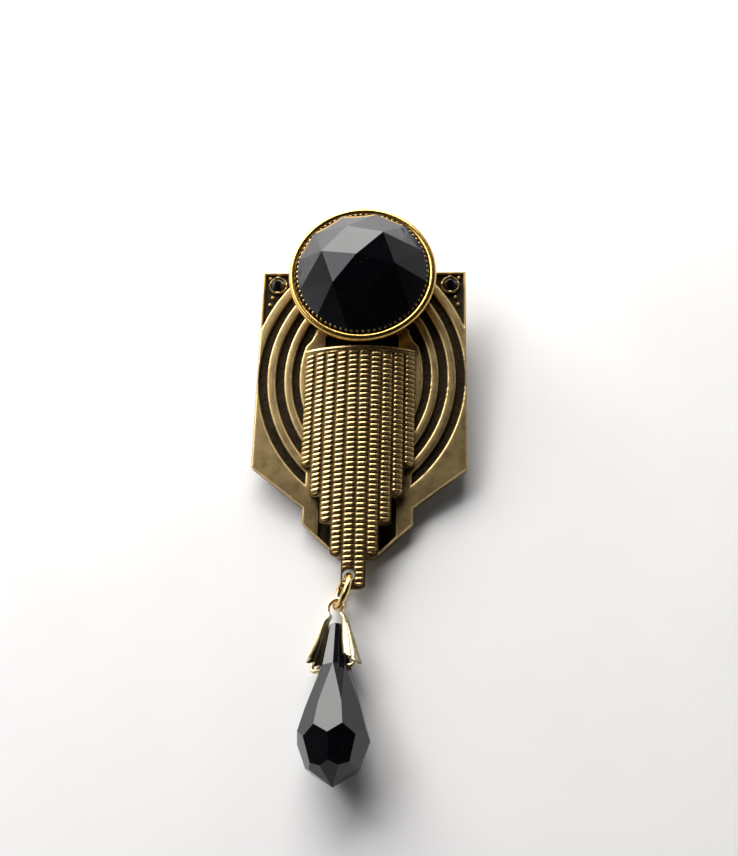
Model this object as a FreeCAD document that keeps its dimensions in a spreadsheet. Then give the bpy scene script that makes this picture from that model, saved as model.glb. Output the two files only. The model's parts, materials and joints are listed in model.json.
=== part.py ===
import FreeCAD, Part
import math
import os
import Sketcher

# Brooch lying face up: a die-struck plate with a stamped fringe panel, a large set stone,
# a bar pin behind it, and a faceted drop that hangs from the fringe's tail on a jump ring.
# Millimetres. Every piece is drawn in the plate's own frame (X across, Y to the top, Z out of
# the front face, origin in the front face) or in its own, and then laid on the table, where
# the plate leans on its pin fitting and on its pointed toe.

SIZES = {
    # plate outline and thickness
    "plate_half": 14.0,
    "plate_top": 16.0,
    "plate_shoulder": -12.3,
    "notch_half": 7.05,
    "notch_top": -17.6,
    "notch_low": -19.7,
    "toe_half": 2.35,
    "plate_toe": -24.05,
    "plate_thick": 1.4,
    "edge_bevel": 0.15,
    "cut_past": 1.0,
    # plate relief
    "relief_deep": 0.5,
    "rim_wide": 0.3,
    "arc_x": 5.95,
    "arc_y": 0.45,
    "corner_arc": 21.0,
    "corner_in": 8.6,
    "groove_foot": 6.85,
    "groove_a_out": 19.7,
    "groove_a_in": 18.6,
    "groove_a_head": 8.4,
    "groove_b_out": 17.4,
    "groove_b_in": 16.3,
    "groove_b_head": 7.6,
    "groove_c_out": 15.2,
    "groove_c_in": 14.25,
    "groove_c_head": 6.35,
    "channel_half": 4.9,
    "channel_top": 7.5,
    "channel_rim": 0.45,
    # corner settings
    "corner_x": 11.9,
    "corner_y": 14.1,
    "collet_out": 1.28,
    "collet_in": 1.03,
    "collet_high": 0.55,
    "chaton_round": 1.0,
    "chaton_table": 0.55,
    "chaton_girdle": 0.4,
    "chaton_high": 0.8,
    # main setting, drawn about its own axis with its height from the plate's face
    "setting_y": 14.2,
    "bead_middle": 9.475,
    "bead_round": 0.525,
    "bead_high": 2.9,
    "bezel_in": 9.12,
    "bezel_out": 9.42,
    "cup_out": 8.92,
    "cup_in": 8.77,
    "cup_high": 3.45,
    "cup_floor": 0.35,
    "ledge_in": 7.8,
    "ledge_high": 2.6,
    "cup_hole": 0.8,
    "cup_shank": 0.78,
    "cup_head": 1.4,
    "head_high": 0.45,
    # main stone
    "stone_round": 8.72,
    "girdle_high": 3.35,
    "star_round": 4.9,
    "star_high": 6.75,
    "crown_high": 8.15,
    "stone_turn": -11.0,
    # fringe panel
    "panel_x": -0.15,
    "panel_half": 7.3,
    "panel_top": 4.0,
    "panel_end": -28.3,
    "panel_arc": 14.3,
    "panel_thick": 0.7,
    "panel_crown": 2.0,
    "rib_pitch": 1.5,
    "rib_half": 0.55,
    "rib_proud": 0.3,
    "rib_head": 3.3,
    "tip_a": -28.0,
    "tip_b": -24.0,
    "tip_c": -19.9,
    "tip_d": -16.3,
    "tip_e": -12.2,
    "flange": 0.3,
    "tail_x": -0.55,
    "tail_y": -26.6,
    "tail_hole": 0.8,
    "post_round": 0.6,
    "post_upper": -2.0,
    "post_lower": -15.0,
    "post_head": 1.1,
    "rivet_gap": 0.02,
    # pin fitting behind the plate
    "pin_y": 9.5,
    "bar_half": 12.0,
    "bar_high": 2.0,
    "bar_thick": 0.6,
    "stem_drop": 3.2,
    "hinge_x": -10.5,
    "ear_round": 1.1,
    "ear_out": 1.0,
    "ear_in": 0.5,
    "hinge_hole": 0.36,
    "hinge_shank": 0.33,
    "hinge_head": 0.6,
    "hinge_cap": 0.25,
    "eye_round": 1.1,
    "eye_half": 0.45,
    "stem_round": 0.45,
    "stem_straight": 17.0,
    "stem_point": 22.4,
    "stem_tip": 22.8,
    "point_round": 0.12,
    "catch_x": 9.5,
    "catch_half": 1.5,
    "catch_out": 1.55,
    "catch_bore": 1.0,
    "catch_slot": 0.55,
    "foot_half": 0.8,
    "window_half": 0.7,
    "lock_hub": 0.95,
    "lock_bore": 0.57,
    "lock_mid": 1.45,
    "lock_half": 1.6,
    "lock_mid_half": 0.65,
    "tab_reach": 2.4,
    "tab_half": 0.3,
    # jump ring
    "ring_middle": 2.05,
    "ring_wire": 0.41,
    "ring_x": -1.4,
    "ring_y": -28.59,
    "ring_z": 1.75,
    "ring_yaw": -18.4,
    "ring_lean": 18.5,
    # pinch bail, drawn about its pins
    "loop_in": 1.05,
    "bail_thick": 0.22,
    "loop_rise": 7.5,
    "spread_right": 2.85,
    "spread_left": 3.2,
    "leaf_low": 0.45,
    "leaf_half": 1.9,
    "leaf_wide_at": 0.9,
    "leaf_neck_at": 6.3,
    "loop_half": 0.32,
    "tongue_half": 0.55,
    "tongue_at": 0.5,
    "prong_round": 0.3,
    "prong_tip": 0.5,
    # drop, drawn about its cross hole
    "drop_hole": 0.36,
    "drop_top": 5.55,
    "drop_top_round": 0.8,
    "drop_neck": -0.05,
    "drop_neck_round": 1.85,
    "drop_waist": -5.15,
    "drop_waist_round": 3.45,
    "drop_belly": -8.25,
    "drop_belly_round": 4.2,
    "drop_base": -11.4,
    "drop_base_round": 3.0,
    "drop_end": -13.55,
    "drop_end_round": 0.15,
    "drop_turn": -2.8,
    "drop_fall": -1.25,
    # where the drop and its bail lie, in the plate's frame
    "pendant_x": -1.75,
    "pendant_y": -37.8,
    "pendant_z": 3.624,
    "pendant_yaw": 2.6,
    "pendant_pitch": 14.8,
    "pendant_roll": -24.0,
    # how the plate lies on the table
    "rest_tilt": 8.04,
    "rest_x": 0.0,
    "rest_y": 13.915,
    "rest_z": 4.7522,
}

SKETCH_SIDES = (1, -1)

doc = FreeCAD.newDocument("Brooch")
sheet = doc.addObject("Spreadsheet::Sheet", "Sizes")
for row, (alias, number) in enumerate(SIZES.items(), start=1):
    sheet.set(f"A{row}", alias)
    sheet.set(f"B{row}", str(number))
    sheet.setAlias(f"B{row}", alias)
doc.recompute()


class Term:
    """A length, kept both as a number and as the sheet expression that gives it."""

    def __init__(self, value, text=None):
        self.value = float(value)
        self.text = text or repr(float(value))

    def _join(self, other, sign, value):
        return Term(value, f"({self.text} {sign} {term(other).text})")

    def __add__(self, other):
        return self._join(other, "+", self.value + term(other).value)

    def __sub__(self, other):
        return self._join(other, "-", self.value - term(other).value)

    def __mul__(self, other):
        return self._join(other, "*", self.value * term(other).value)

    def __truediv__(self, other):
        return self._join(other, "/", self.value / term(other).value)

    def __radd__(self, other):
        return term(other) + self

    def __rsub__(self, other):
        return term(other) - self

    def __rmul__(self, other):
        return term(other) * self

    def __neg__(self):
        return Term(-self.value, f"(-{self.text})")


def term(number):
    return number if isinstance(number, Term) else Term(number)


def root(number):
    return Term(math.sqrt(number.value), f"sqrt({number.text})")


class Cells:
    """Gives each cell of the sheet as a Term, by its alias."""

    def __getattr__(self, alias):
        return Term(SIZES[alias], f"Sizes.{alias}")


size = Cells()


def bind(thing, prop, amount):
    thing.setExpression(prop, term(amount).text)


# ---- sketches ---------------------------------------------------------------------------

def new_sketch(body, name, role, lift=None):
    """A sketch on one of the body's origin planes, moved along the plane's normal by lift."""
    sketch = body.newObject("Sketcher::SketchObject", name)
    plane = [item for item in body.Origin.OriginFeatures if item.Role == role][0]
    sketch.AttachmentSupport = [(plane, "")]
    sketch.MapMode = "FlatFace"
    if lift is not None:
        bind(sketch, "AttachmentOffset.Base.z", lift)
    return sketch


def fix_point(sketch, geometry, end, x, y):
    """Holds one point of the sketch at (x, y) from its origin."""
    for kind, amount, axis in (("DistanceX", term(x), -2), ("DistanceY", term(y), -1)):
        if amount.value == 0:
            sketch.addConstraint(Sketcher.Constraint("PointOnObject", geometry, end, axis))
            continue
        index = sketch.addConstraint(Sketcher.Constraint(kind, -1, 1, geometry, end, amount.value))
        bind(sketch, f"Constraints[{index}]", amount)


def circle(sketch, x, y, radius):
    centre = FreeCAD.Vector(term(x).value, term(y).value, 0)
    index = sketch.addGeometry(Part.Circle(centre, FreeCAD.Vector(0, 0, 1), term(radius).value))
    fix_point(sketch, index, 3, x, y)
    held = sketch.addConstraint(Sketcher.Constraint("Radius", index, term(radius).value))
    bind(sketch, f"Constraints[{held}]", radius)


def arc_between(start, end, radius):
    """The short arc from start to end: to the left for a radius over 0, else to the right."""
    chord = end - start
    left = FreeCAD.Vector(-chord.y, chord.x, 0).normalize()
    reach = math.sqrt(max(radius ** 2 - (chord.Length / 2) ** 2, 0))
    side = 1 if radius > 0 else -1
    centre = (start + end) * 0.5 + left * reach * side
    first, last = (start, end) if radius > 0 else (end, start)
    angles = [math.atan2(point.y - centre.y, point.x - centre.x) for point in (first, last)]
    ring = Part.Circle(centre, FreeCAD.Vector(0, 0, 1), abs(radius))
    return Part.ArcOfCircle(ring, angles[0], angles[1])


def outline(sketch, corners, arcs=None):
    """A closed outline through the corners; arcs gives the radius of each side that is round."""
    arcs = arcs or {}
    places = [FreeCAD.Vector(term(x).value, term(y).value, 0) for x, y in corners]
    sides = []
    for number, start in enumerate(places):
        end = places[(number + 1) % len(places)]
        if number in arcs:
            radius = term(arcs[number])
            index = sketch.addGeometry(arc_between(start, end, radius.value))
            ends = (1, 2) if radius.value > 0 else (2, 1)
            length = Term(abs(radius.value), f"abs({radius.text})")
            held = sketch.addConstraint(Sketcher.Constraint("Radius", index, length.value))
            bind(sketch, f"Constraints[{held}]", length)
        else:
            index = sketch.addGeometry(Part.LineSegment(start, end))
            ends = (1, 2)
        sides.append((index, ends))
    for number, (x, y) in enumerate(corners):
        index, ends = sides[number]
        before, ends_before = sides[number - 1]
        join = Sketcher.Constraint("Coincident", before, ends_before[1], index, ends[0])
        sketch.addConstraint(join)
        fix_point(sketch, index, ends[0], x, y)


def rectangle(sketch, left, right, low, high):
    outline(sketch, [(left, low), (right, low), (right, high), (left, high)])


# ---- features ---------------------------------------------------------------------------

def new_body(label):
    body = doc.addObject("PartDesign::Body", label)
    body.Label = label
    return body


def extrude(body, kind, sketch, length, reverse=False, both=False):
    feature = body.newObject(f"PartDesign::{kind}", sketch.Name + kind)
    feature.Profile = sketch
    feature.SideType = "Symmetric" if both else "One side"
    bind(feature, "Length", length)
    feature.Reversed = reverse
    sketch.Visibility = False
    return feature


def pad(body, sketch, length, **how):
    return extrude(body, "Pad", sketch, length, **how)


def cut_through(body, sketch):
    feature = body.newObject("PartDesign::Pocket", sketch.Name + "Pocket")
    feature.Profile = sketch
    feature.SideType = "Symmetric"
    feature.Type = "ThroughAll"
    return feature


def spin(body, sketch, axis="V_Axis"):
    feature = body.newObject("PartDesign::Revolution", sketch.Name + "Turned")
    feature.Profile = sketch
    feature.ReferenceAxis = (sketch, [axis])
    feature.Angle = 360
    return feature


def turned(label, profiles):
    """A body turned about its Z axis from one or more (radius, height) outlines."""
    body = new_body(label)
    for number, corners in enumerate(profiles):
        sketch = new_sketch(body, f"{label}_profile_{number}", "XZ_Plane")
        outline(sketch, corners)
        spin(body, sketch)
    return body


# ---- places -----------------------------------------------------------------------------

X_AXIS = FreeCAD.Vector(1, 0, 0)
Y_AXIS = FreeCAD.Vector(0, 1, 0)
Z_AXIS = FreeCAD.Vector(0, 0, 1)


def turn(axis, amount):
    return FreeCAD.Placement(FreeCAD.Vector(), FreeCAD.Rotation(axis, amount.value))


def move(x, y, z):
    return FreeCAD.Placement(FreeCAD.Vector(*(term(a).value for a in (x, y, z))), FreeCAD.Rotation())


on_table = move(size.rest_x, size.rest_y, size.rest_z) * turn(X_AXIS, size.rest_tilt)
in_pendant = (
    move(size.pendant_x, size.pendant_y, size.pendant_z)
    * turn(Z_AXIS, size.pendant_yaw)
    * turn(X_AXIS, -90 - size.pendant_pitch)
    * turn(Z_AXIS, size.pendant_roll)
)
sub_parts = []


def lay(thing, place):
    """Lays a finished piece on the table with the plate, and lists it for export."""
    thing.Placement = on_table * place
    sub_parts.append(thing)
    return thing


# ---- plate ------------------------------------------------------------------------------

def plate_outline(sketch):
    right = [
        (size.toe_half, size.plate_toe),
        (size.notch_half, size.notch_low),
        (size.notch_half, size.notch_top),
        (size.plate_half, size.plate_shoulder),
        (size.plate_half, size.plate_top),
    ]
    left = [(-x, y) for x, y in reversed(right)]
    outline(sketch, right + left)


def on_arc(x, radius, side):
    """Height of the arc of this radius, struck from the plate's left centre, at x."""
    return size.arc_y + side * root(radius * radius - (x + size.arc_x) * (x + size.arc_x))


def groove_outline(sketch, name, side):
    """One struck groove: two arcs about the far side's centre, square at both ends."""
    outer = getattr(size, f"groove_{name}_out")
    inner = getattr(size, f"groove_{name}_in")
    head = getattr(size, f"groove_{name}_head")
    foot = size.groove_foot
    corners = [
        (foot, on_arc(foot, inner, -1)),
        (foot, on_arc(foot, outer, -1)),
        (head, on_arc(head, outer, 1)),
        (head, on_arc(head, inner, 1)),
    ]
    arcs = {1: outer, 3: -inner}
    if side < 0:
        corners = [(-x, y) for x, y in corners]
        arcs = {1: -outer, 3: inner}
    outline(sketch, corners, arcs)


def corner_outline(sketch, side):
    """The recess of an upper corner, bounded by the rim and the outer raised band."""
    outer_x = size.plate_half - size.rim_wide
    top = size.plate_top - size.rim_wide
    inner_x = size.corner_in
    corners = [
        (outer_x, on_arc(outer_x, size.corner_arc, 1)),
        (outer_x, top),
        (inner_x, top),
        (inner_x, on_arc(inner_x, size.corner_arc, 1)),
    ]
    arcs = {3: -size.corner_arc}
    if side < 0:
        corners = [(-x, y) for x, y in corners]
        arcs = {3: size.corner_arc}
    outline(sketch, corners, arcs)


def channel_outline(sketch):
    """The recess behind the fringe, ending in a V inside the plate's toe."""
    slope = (size.notch_low - size.plate_toe) / (size.notch_half - size.toe_half)
    toe = size.plate_toe + size.channel_rim
    side_y = size.plate_toe + size.channel_rim + (size.channel_half - size.toe_half) * slope
    right = [
        (size.toe_half, toe),
        (size.channel_half, side_y),
        (size.channel_half, size.channel_top),
    ]
    left = [(-x, y) for x, y in reversed(right)]
    outline(sketch, right + left)


def base_plate():
    body = new_body("base_plate")
    blank = new_sketch(body, "plate_blank", "XY_Plane")
    plate_outline(blank)
    slab = pad(body, blank, size.plate_thick, reverse=True)
    doc.recompute()
    bevel = body.newObject("PartDesign::Chamfer", "plate_bevel")
    front = [f"Face{number + 1}" for number, face in enumerate(slab.Shape.Faces)
             if abs(face.CenterOfMass.z) < 0.001]
    bevel.Base = (slab, front)
    bind(bevel, "Size", size.edge_bevel)
    for side, word in zip(SKETCH_SIDES, ("right", "left")):
        for name in ("a", "b", "c"):
            groove = new_sketch(body, f"groove_{name}_{word}", "XY_Plane")
            groove_outline(groove, name, side)
            extrude(body, "Pocket", groove, size.relief_deep)
        corner = new_sketch(body, f"corner_{word}", "XY_Plane")
        corner_outline(corner, side)
        extrude(body, "Pocket", corner, size.relief_deep)
        collet = new_sketch(body, f"collet_{word}", "XY_Plane", -size.relief_deep)
        circle(collet, side * size.corner_x, size.corner_y, size.collet_out)
        circle(collet, side * size.corner_x, size.corner_y, size.collet_in)
        pad(body, collet, size.collet_high)
    channel = new_sketch(body, "channel", "XY_Plane")
    channel_outline(channel)
    extrude(body, "Pocket", channel, size.relief_deep)
    holes = new_sketch(body, "rivet_holes", "XY_Plane")
    circle(holes, 0, size.setting_y, size.cup_hole)
    for y in (size.post_upper, size.post_lower):
        circle(holes, size.panel_x, y, size.post_round + size.rivet_gap)
    cut_through(body, holes)
    return lay(body, move(0, 0, 0))


# ---- settings and stones ----------------------------------------------------------------

def setting_place():
    return move(0, size.setting_y, 0)


def bezel_ring():
    """The outer wall of the setting with its rolled rim."""
    body = turned("bezel_ring", [[
        (size.bezel_in, 0),
        (size.bezel_out, 0),
        (size.bezel_out, size.bead_high),
        (size.bezel_in, size.bead_high),
    ]])
    bead = new_sketch(body, "rolled_rim", "XZ_Plane")
    circle(bead, size.bead_middle, size.bead_high, size.bead_round)
    spin(body, bead)
    return lay(body, setting_place())


def setting_cup():
    """The inner cup, with a ledge that the stone rests on."""
    body = turned("setting_cup", [[
        (size.cup_hole, 0),
        (size.cup_out, 0),
        (size.cup_out, size.cup_high),
        (size.cup_in, size.cup_high),
        (size.cup_in, size.ledge_high),
        (size.ledge_in, size.ledge_high),
        (size.ledge_in, size.cup_floor),
        (size.cup_hole, size.cup_floor),
    ]])
    return lay(body, setting_place())


def cup_rivet():
    """Holds the cup and its bezel down through the plate."""
    back = -size.plate_thick
    top = size.cup_floor + size.head_high
    body = turned("cup_rivet", [[
        (0, back - size.head_high),
        (size.cup_head, back - size.head_high),
        (size.cup_head, back),
        (size.cup_shank, back),
        (size.cup_shank, size.cup_floor),
        (size.cup_head, size.cup_floor),
        (size.cup_head, top),
        (0, top),
    ]])
    return lay(body, setting_place())


def main_stone():
    """A rose-cut stone: six star facets, and eighteen between them and the round girdle."""
    radius = size.stone_round.value
    girdle = size.girdle_high.value
    ledge = size.ledge_high.value

    def ring_point(reach, height, degrees):
        angle = math.radians(degrees)
        return FreeCAD.Vector(reach * math.cos(angle), reach * math.sin(angle), height)

    apex = FreeCAD.Vector(0, 0, size.crown_high.value)
    star = [ring_point(size.star_round.value, size.star_high.value, 60 * step) for step in range(6)]
    edge = [ring_point(radius, girdle, 30 * step) for step in range(12)]
    faces = [list(reversed(edge))]
    for step in range(6):
        here, there = star[step], star[(step + 1) % 6]
        outward, between, beyond = edge[2 * step], edge[2 * step + 1], edge[(2 * step + 2) % 12]
        faces += [[apex, here, there], [here, outward, between]]
        faces += [[here, between, there], [there, between, beyond]]
    shell = Part.makeShell([Part.Face(Part.makePolygon(face + face[:1])) for face in faces])
    crown = Part.makeSolid(shell)
    belt = Part.makeCylinder(radius, girdle - ledge, FreeCAD.Vector(0, 0, ledge))
    stone = doc.addObject("Part::Feature", "main_stone")
    stone.Label = "main_stone"
    stone.Shape = crown.fuse(belt)
    return lay(stone, setting_place() * turn(Z_AXIS, size.stone_turn))


def corner_stone(word, side):
    """A small flat-backed chaton in a corner collet."""
    body = turned(f"corner_stone_{word}", [[
        (0, 0),
        (size.chaton_round, 0),
        (size.chaton_round, size.chaton_girdle),
        (size.chaton_table, size.chaton_high),
        (0, size.chaton_high),
    ]])
    return lay(body, move(side * size.corner_x, size.corner_y, -size.relief_deep))


# ---- fringe panel -----------------------------------------------------------------------

TIPS = ("tip_a", "tip_b", "tip_c", "tip_d", "tip_e")


def fringe_panel():
    """An arched sheet with ten ribbed strips of stepped length, the middle two its tail."""
    body = new_body("fringe_panel")
    arch = new_sketch(body, "arch", "XZ_Plane", -size.panel_top)
    inner = size.panel_arc - size.panel_thick
    inner_half = root(inner * inner - (size.panel_arc - size.panel_crown)
                      * (size.panel_arc - size.panel_crown))
    crown = size.panel_crown
    corners = [
        (size.panel_half, 0),
        (0, crown),
        (-size.panel_half, 0),
        (-inner_half, 0),
        (0, crown - size.panel_thick),
        (inner_half, 0),
    ]
    sides = {0: size.panel_arc, 1: size.panel_arc, 3: -inner, 4: -inner}
    outline(arch, corners, sides)
    pad(body, arch, size.panel_top - size.panel_end)

    for number, tip in enumerate(TIPS):
        middle = size.rib_pitch * (number + 0.5)
        low = getattr(size, tip)
        top = root(size.panel_arc * size.panel_arc - middle * middle) - size.panel_arc + crown
        strip = new_sketch(body, f"strips_{number}", "XY_Plane", top - size.panel_thick / 4)
        for side in SKETCH_SIDES:
            right = side * middle + size.rib_half
            left = side * middle - size.rib_half
            ends = [(left, low + size.rib_half), (side * middle, low), (right, low + size.rib_half)]
            sides = {0: size.rib_half, 1: size.rib_half}
            outline(strip, ends + [(right, size.rib_head), (left, size.rib_head)], sides)
        pad(body, strip, size.panel_thick / 4 + size.rib_proud)

    steps = new_sketch(body, "steps", "XY_Plane")
    stair = []
    for number, tip in enumerate(TIPS[:-1]):
        edge = size.rib_pitch * (number + 1)
        stair.append((edge, getattr(size, tip) - size.flange))
        stair.append((edge, getattr(size, TIPS[number + 1]) - size.flange))
    wide = size.panel_half + size.cut_past
    foot = size.panel_end - size.cut_past
    last = getattr(size, TIPS[-1]) - size.flange
    right = stair + [(wide, last), (wide, foot)]
    for side in SKETCH_SIDES:
        start = (side * size.rib_pitch, foot)
        outline(steps, [start] + [(side * x, y) for x, y in right])
    cut_through(body, steps)

    hole = new_sketch(body, "tail_eye", "XY_Plane")
    circle(hole, size.tail_x, size.tail_y, size.tail_hole)
    cut_through(body, hole)
    return lay(body, move(size.panel_x, 0, 0))


def panel_rivet(word, y):
    """A post under the panel's crown, headed over behind the plate."""
    back = -size.plate_thick
    top = size.panel_crown - size.panel_thick - size.rivet_gap
    body = turned(f"panel_rivet_{word}", [[
        (0, back - size.head_high),
        (size.post_head, back - size.head_high),
        (size.post_head, back),
        (size.post_round, back),
        (size.post_round, top),
        (0, top),
    ]])
    return lay(body, move(size.panel_x, y, 0))


# ---- pin fitting ------------------------------------------------------------------------

def fitting_place(x, drop):
    """A place behind the plate, at x along the pin bar and drop behind the plate's back."""
    return move(x, size.pin_y, -size.plate_thick - drop)


def pin_bar():
    """The flat bar on the plate's back, with the two ears of the stem's hinge."""
    body = new_body("pin_bar")
    strip = new_sketch(body, "strip", "XY_Plane")
    rectangle(strip, -size.bar_half, size.bar_half, -size.bar_high, size.bar_high)
    pad(body, strip, size.bar_thick, reverse=True)
    ears = new_sketch(body, "ears", "XZ_Plane")
    left = size.hinge_x - size.ear_round
    right = size.hinge_x + size.ear_round
    bottom = -size.stem_drop - size.ear_round
    corners = [
        (right, -size.bar_thick / 2),
        (left, -size.bar_thick / 2),
        (left, -size.stem_drop),
        (size.hinge_x, bottom),
        (right, -size.stem_drop),
    ]
    outline(ears, corners, {2: size.ear_round, 3: size.ear_round})
    pad(body, ears, 2 * size.ear_out, both=True)
    gap = new_sketch(body, "ear_gap", "XZ_Plane")
    past = size.cut_past
    rectangle(gap, left - past, right + past, bottom - past, -size.bar_thick)
    extrude(body, "Pocket", gap, 2 * size.ear_in, both=True)
    hole = new_sketch(body, "hinge_hole", "XZ_Plane")
    circle(hole, size.hinge_x, -size.stem_drop, size.hinge_hole)
    cut_through(body, hole)
    return lay(body, fitting_place(0, 0))


def hinge_rivet():
    """The stem's hinge rivet, headed outside both ears; turned, then laid along Y."""
    inside = size.ear_out + size.rivet_gap
    outside = inside + size.hinge_cap
    body = turned("hinge_rivet", [[
        (0, -outside),
        (size.hinge_head, -outside),
        (size.hinge_head, -inside),
        (size.hinge_shank, -inside),
        (size.hinge_shank, inside),
        (size.hinge_head, inside),
        (size.hinge_head, outside),
        (0, outside),
    ]])
    return lay(body, fitting_place(size.hinge_x, size.stem_drop) * turn(X_AXIS, term(90)))


def pin_stem():
    """The sharp stem, from its flat eye on the hinge to its point past the catch."""
    body = new_body("pin_stem")
    shaft = new_sketch(body, "shaft", "XY_Plane")
    outline(shaft, [
        (size.eye_round / 2, 0),
        (size.stem_tip, 0),
        (size.stem_point, size.point_round),
        (size.stem_straight, size.stem_round),
        (size.eye_round / 2, size.stem_round),
    ])
    spin(body, shaft, "H_Axis")
    eye = new_sketch(body, "eye", "XZ_Plane")
    circle(eye, 0, 0, size.eye_round)
    pad(body, eye, 2 * size.eye_half, both=True)
    hole = new_sketch(body, "eye_hole", "XZ_Plane")
    circle(hole, 0, 0, size.hinge_hole)
    cut_through(body, hole)
    return lay(body, fitting_place(size.hinge_x, size.stem_drop))


def catch_body():
    """Two open rings on a foot, with a window between them for the lock."""
    body = new_body("catch_body")
    rings = new_sketch(body, "rings", "YZ_Plane")
    circle(rings, 0, 0, size.catch_out)
    pad(body, rings, 2 * size.catch_half, both=True)
    foot = new_sketch(body, "foot", "YZ_Plane")
    rectangle(foot, -size.foot_half, size.foot_half, size.catch_bore,
              size.stem_drop - size.bar_thick)
    pad(body, foot, 2 * size.catch_half, both=True)
    window = new_sketch(body, "window", "YZ_Plane")
    wide = size.catch_out + 1
    rectangle(window, -wide, wide, -wide, size.catch_out)
    extrude(body, "Pocket", window, 2 * size.window_half, both=True)
    bore = new_sketch(body, "bore", "YZ_Plane")
    circle(bore, 0, 0, size.catch_bore)
    cut_through(body, bore)
    slot = new_sketch(body, "slot", "YZ_Plane")
    rectangle(slot, -size.catch_slot, size.catch_slot, -wide, 0)
    cut_through(body, slot)
    return lay(body, fitting_place(size.catch_x, size.stem_drop))


def catch_lock():
    """The turning sleeve, open side down, with a thumb tab out to the side."""
    body = new_body("catch_lock")
    hub = new_sketch(body, "hub", "YZ_Plane")
    circle(hub, 0, 0, size.lock_hub)
    pad(body, hub, 2 * size.lock_half, both=True)
    collar = new_sketch(body, "collar", "YZ_Plane")
    circle(collar, 0, 0, size.lock_mid)
    pad(body, collar, 2 * size.lock_mid_half, both=True)
    tab = new_sketch(body, "tab", "YZ_Plane")
    rectangle(tab, size.lock_hub, size.tab_reach, -size.tab_half, size.tab_half)
    pad(body, tab, 2 * size.lock_mid_half, both=True)
    bore = new_sketch(body, "lock_bore", "YZ_Plane")
    circle(bore, 0, 0, size.lock_bore)
    cut_through(body, bore)
    slot = new_sketch(body, "lock_slot", "YZ_Plane")
    rectangle(slot, -size.catch_slot, size.catch_slot, -size.tab_reach, 0)
    cut_through(body, slot)
    return lay(body, fitting_place(size.catch_x, size.stem_drop))


# ---- pendant ----------------------------------------------------------------------------

def jump_ring():
    ring = doc.addObject("Part::Torus", "jump_ring")
    ring.Label = "jump_ring"
    bind(ring, "Radius1", size.ring_middle)
    bind(ring, "Radius2", size.ring_wire)
    doc.recompute()
    stand = turn(Z_AXIS, size.ring_yaw) * turn(Y_AXIS, 90 + size.ring_lean)
    return lay(ring, move(size.ring_x, size.ring_y, size.ring_z) * stand)


def pinch_bail():
    """A folded strip: a loop on top, two leaves that widen downwards, and a prong in each."""
    body = new_body("pinch_bail")
    strip = new_sketch(body, "strip_side", "XZ_Plane")
    outer = size.loop_in + size.bail_thick
    rise = size.loop_rise
    foot = -size.leaf_low
    right = [(size.spread_right, foot), (outer, rise)]
    left = [(-outer, rise), (-size.spread_left, foot)]
    inside_left = [(size.bail_thick - size.spread_left, foot), (-size.loop_in, rise)]
    inside_right = [(size.loop_in, rise), (size.spread_right - size.bail_thick, foot)]
    corners = (right + [(0, rise + outer)] + left
               + inside_left + [(0, rise + size.loop_in)] + inside_right)
    arcs = {1: outer, 2: outer, 6: -size.loop_in, 7: -size.loop_in}
    outline(strip, corners, arcs)
    pad(body, strip, 2 * size.leaf_half, both=True)
    trim = new_sketch(body, "leaf_trim", "YZ_Plane")
    wide = size.leaf_half + 1
    top = rise + outer + 1
    for side in SKETCH_SIDES:
        outline(trim, [
            (side * size.loop_half, top),
            (side * size.loop_half, size.leaf_neck_at),
            (side * size.leaf_half, size.leaf_wide_at),
            (side * size.tongue_half, size.tongue_at),
            (side * size.tongue_half, -size.leaf_low - 1),
            (side * wide, -size.leaf_low - 1),
            (side * wide, top),
        ])
    cut_through(body, trim)
    for side, word in zip(SKETCH_SIDES, ("right", "left")):
        spread = getattr(size, f"spread_{word}")
        prong = new_sketch(body, f"prong_{word}", "YZ_Plane", side * size.prong_tip)
        circle(prong, 0, 0, size.prong_round)
        pad(body, prong, spread - size.bail_thick - size.prong_tip, reverse=side < 0)
    return lay(body, in_pendant)


DROP_SIDES = 8
DROP_LEVELS = ("top", "neck", "waist", "belly", "base", "end")


def pendant_drop():
    """An eight-sided faceted drop with a cross hole for the bail's prongs."""
    body = new_body("pendant_drop")
    levels = []
    for name in DROP_LEVELS:
        level = new_sketch(body, f"level_{name}", "XY_Plane", getattr(size, f"drop_{name}"))
        radius = getattr(size, f"drop_{name}_round")
        corners = []
        for side in range(DROP_SIDES):
            angle = math.radians((side + 0.5) * 360 / DROP_SIDES + size.drop_turn.value)
            corners.append((radius * math.cos(angle), radius * math.sin(angle)))
        outline(level, corners)
        levels.append(level)
    loft = body.newObject("PartDesign::AdditiveLoft", "drop_facets")
    loft.Profile = levels[0]
    loft.Sections = levels[1:]
    loft.Ruled = True
    hole = new_sketch(body, "cross_hole", "YZ_Plane")
    circle(hole, 0, 0, size.drop_hole)
    cut_through(body, hole)
    return lay(body, in_pendant * turn(X_AXIS, size.drop_fall))


# ---- assembly ---------------------------------------------------------------------------

base_plate()
bezel_ring()
setting_cup()
cup_rivet()
main_stone()
for hand, way in (("right", 1), ("left", -1)):
    corner_stone(hand, way)
fringe_panel()
panel_rivet("upper", size.post_upper)
panel_rivet("lower", size.post_lower)
pin_bar()
hinge_rivet()
pin_stem()
catch_body()
catch_lock()
jump_ring()
pinch_bail()
pendant_drop()
doc.recompute()

for thing in doc.Objects:
    if "Invalid" in thing.State or "Error" in thing.State:
        raise RuntimeError(f"{thing.Name} failed: {thing.State}")
for thing in sub_parts:
    if thing.Shape.isNull() or not thing.Shape.isValid() or not thing.Shape.Solids:
        raise RuntimeError(f"{thing.Label} has no sound shape")

os.makedirs("parts", exist_ok=True)
for thing in sub_parts:
    thing.Shape.exportStep(f"parts/{thing.Label}.step")
    print(f"{thing.Label}: {len(thing.Shape.Solids)} solid, {thing.Shape.Volume:.2f} mm3")
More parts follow.
